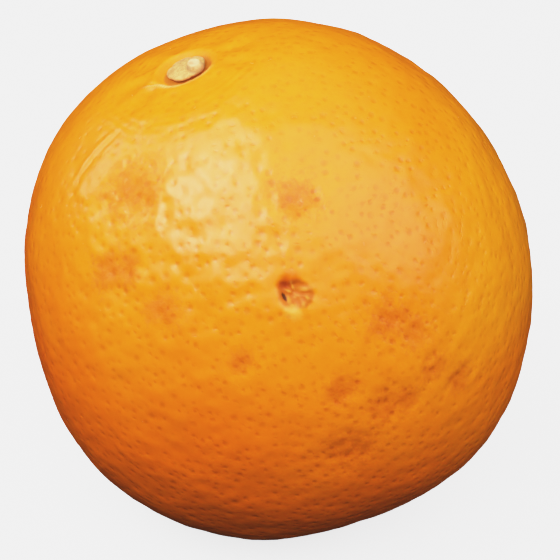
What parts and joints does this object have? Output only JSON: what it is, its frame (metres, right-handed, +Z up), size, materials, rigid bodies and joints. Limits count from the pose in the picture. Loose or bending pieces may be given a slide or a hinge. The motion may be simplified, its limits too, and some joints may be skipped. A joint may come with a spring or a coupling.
{
  "type": "orange",
  "caption": "Whole picked orange lying at rest: a slightly lopsided round fruit with pebbled peel, a sunken stem end with its dried button, and a small pit scar.",
  "frame": {"origin": "on the surface that the fruit lies on, under the centre of its bounding box", "axes": "+Z up, -Y the side with the pit scar, and the stem end leaning 20 degrees from +Z towards -X"},
  "size_m": [0.0758, 0.0762, 0.0779],
  "materials": {
    "peel": "satin",
    "dried_calyx": "matte"
  },
  "bodies": {
    "root": {"fruit": "peel", "stem_button": "dried_calyx"}
  },
  "joints": []
}
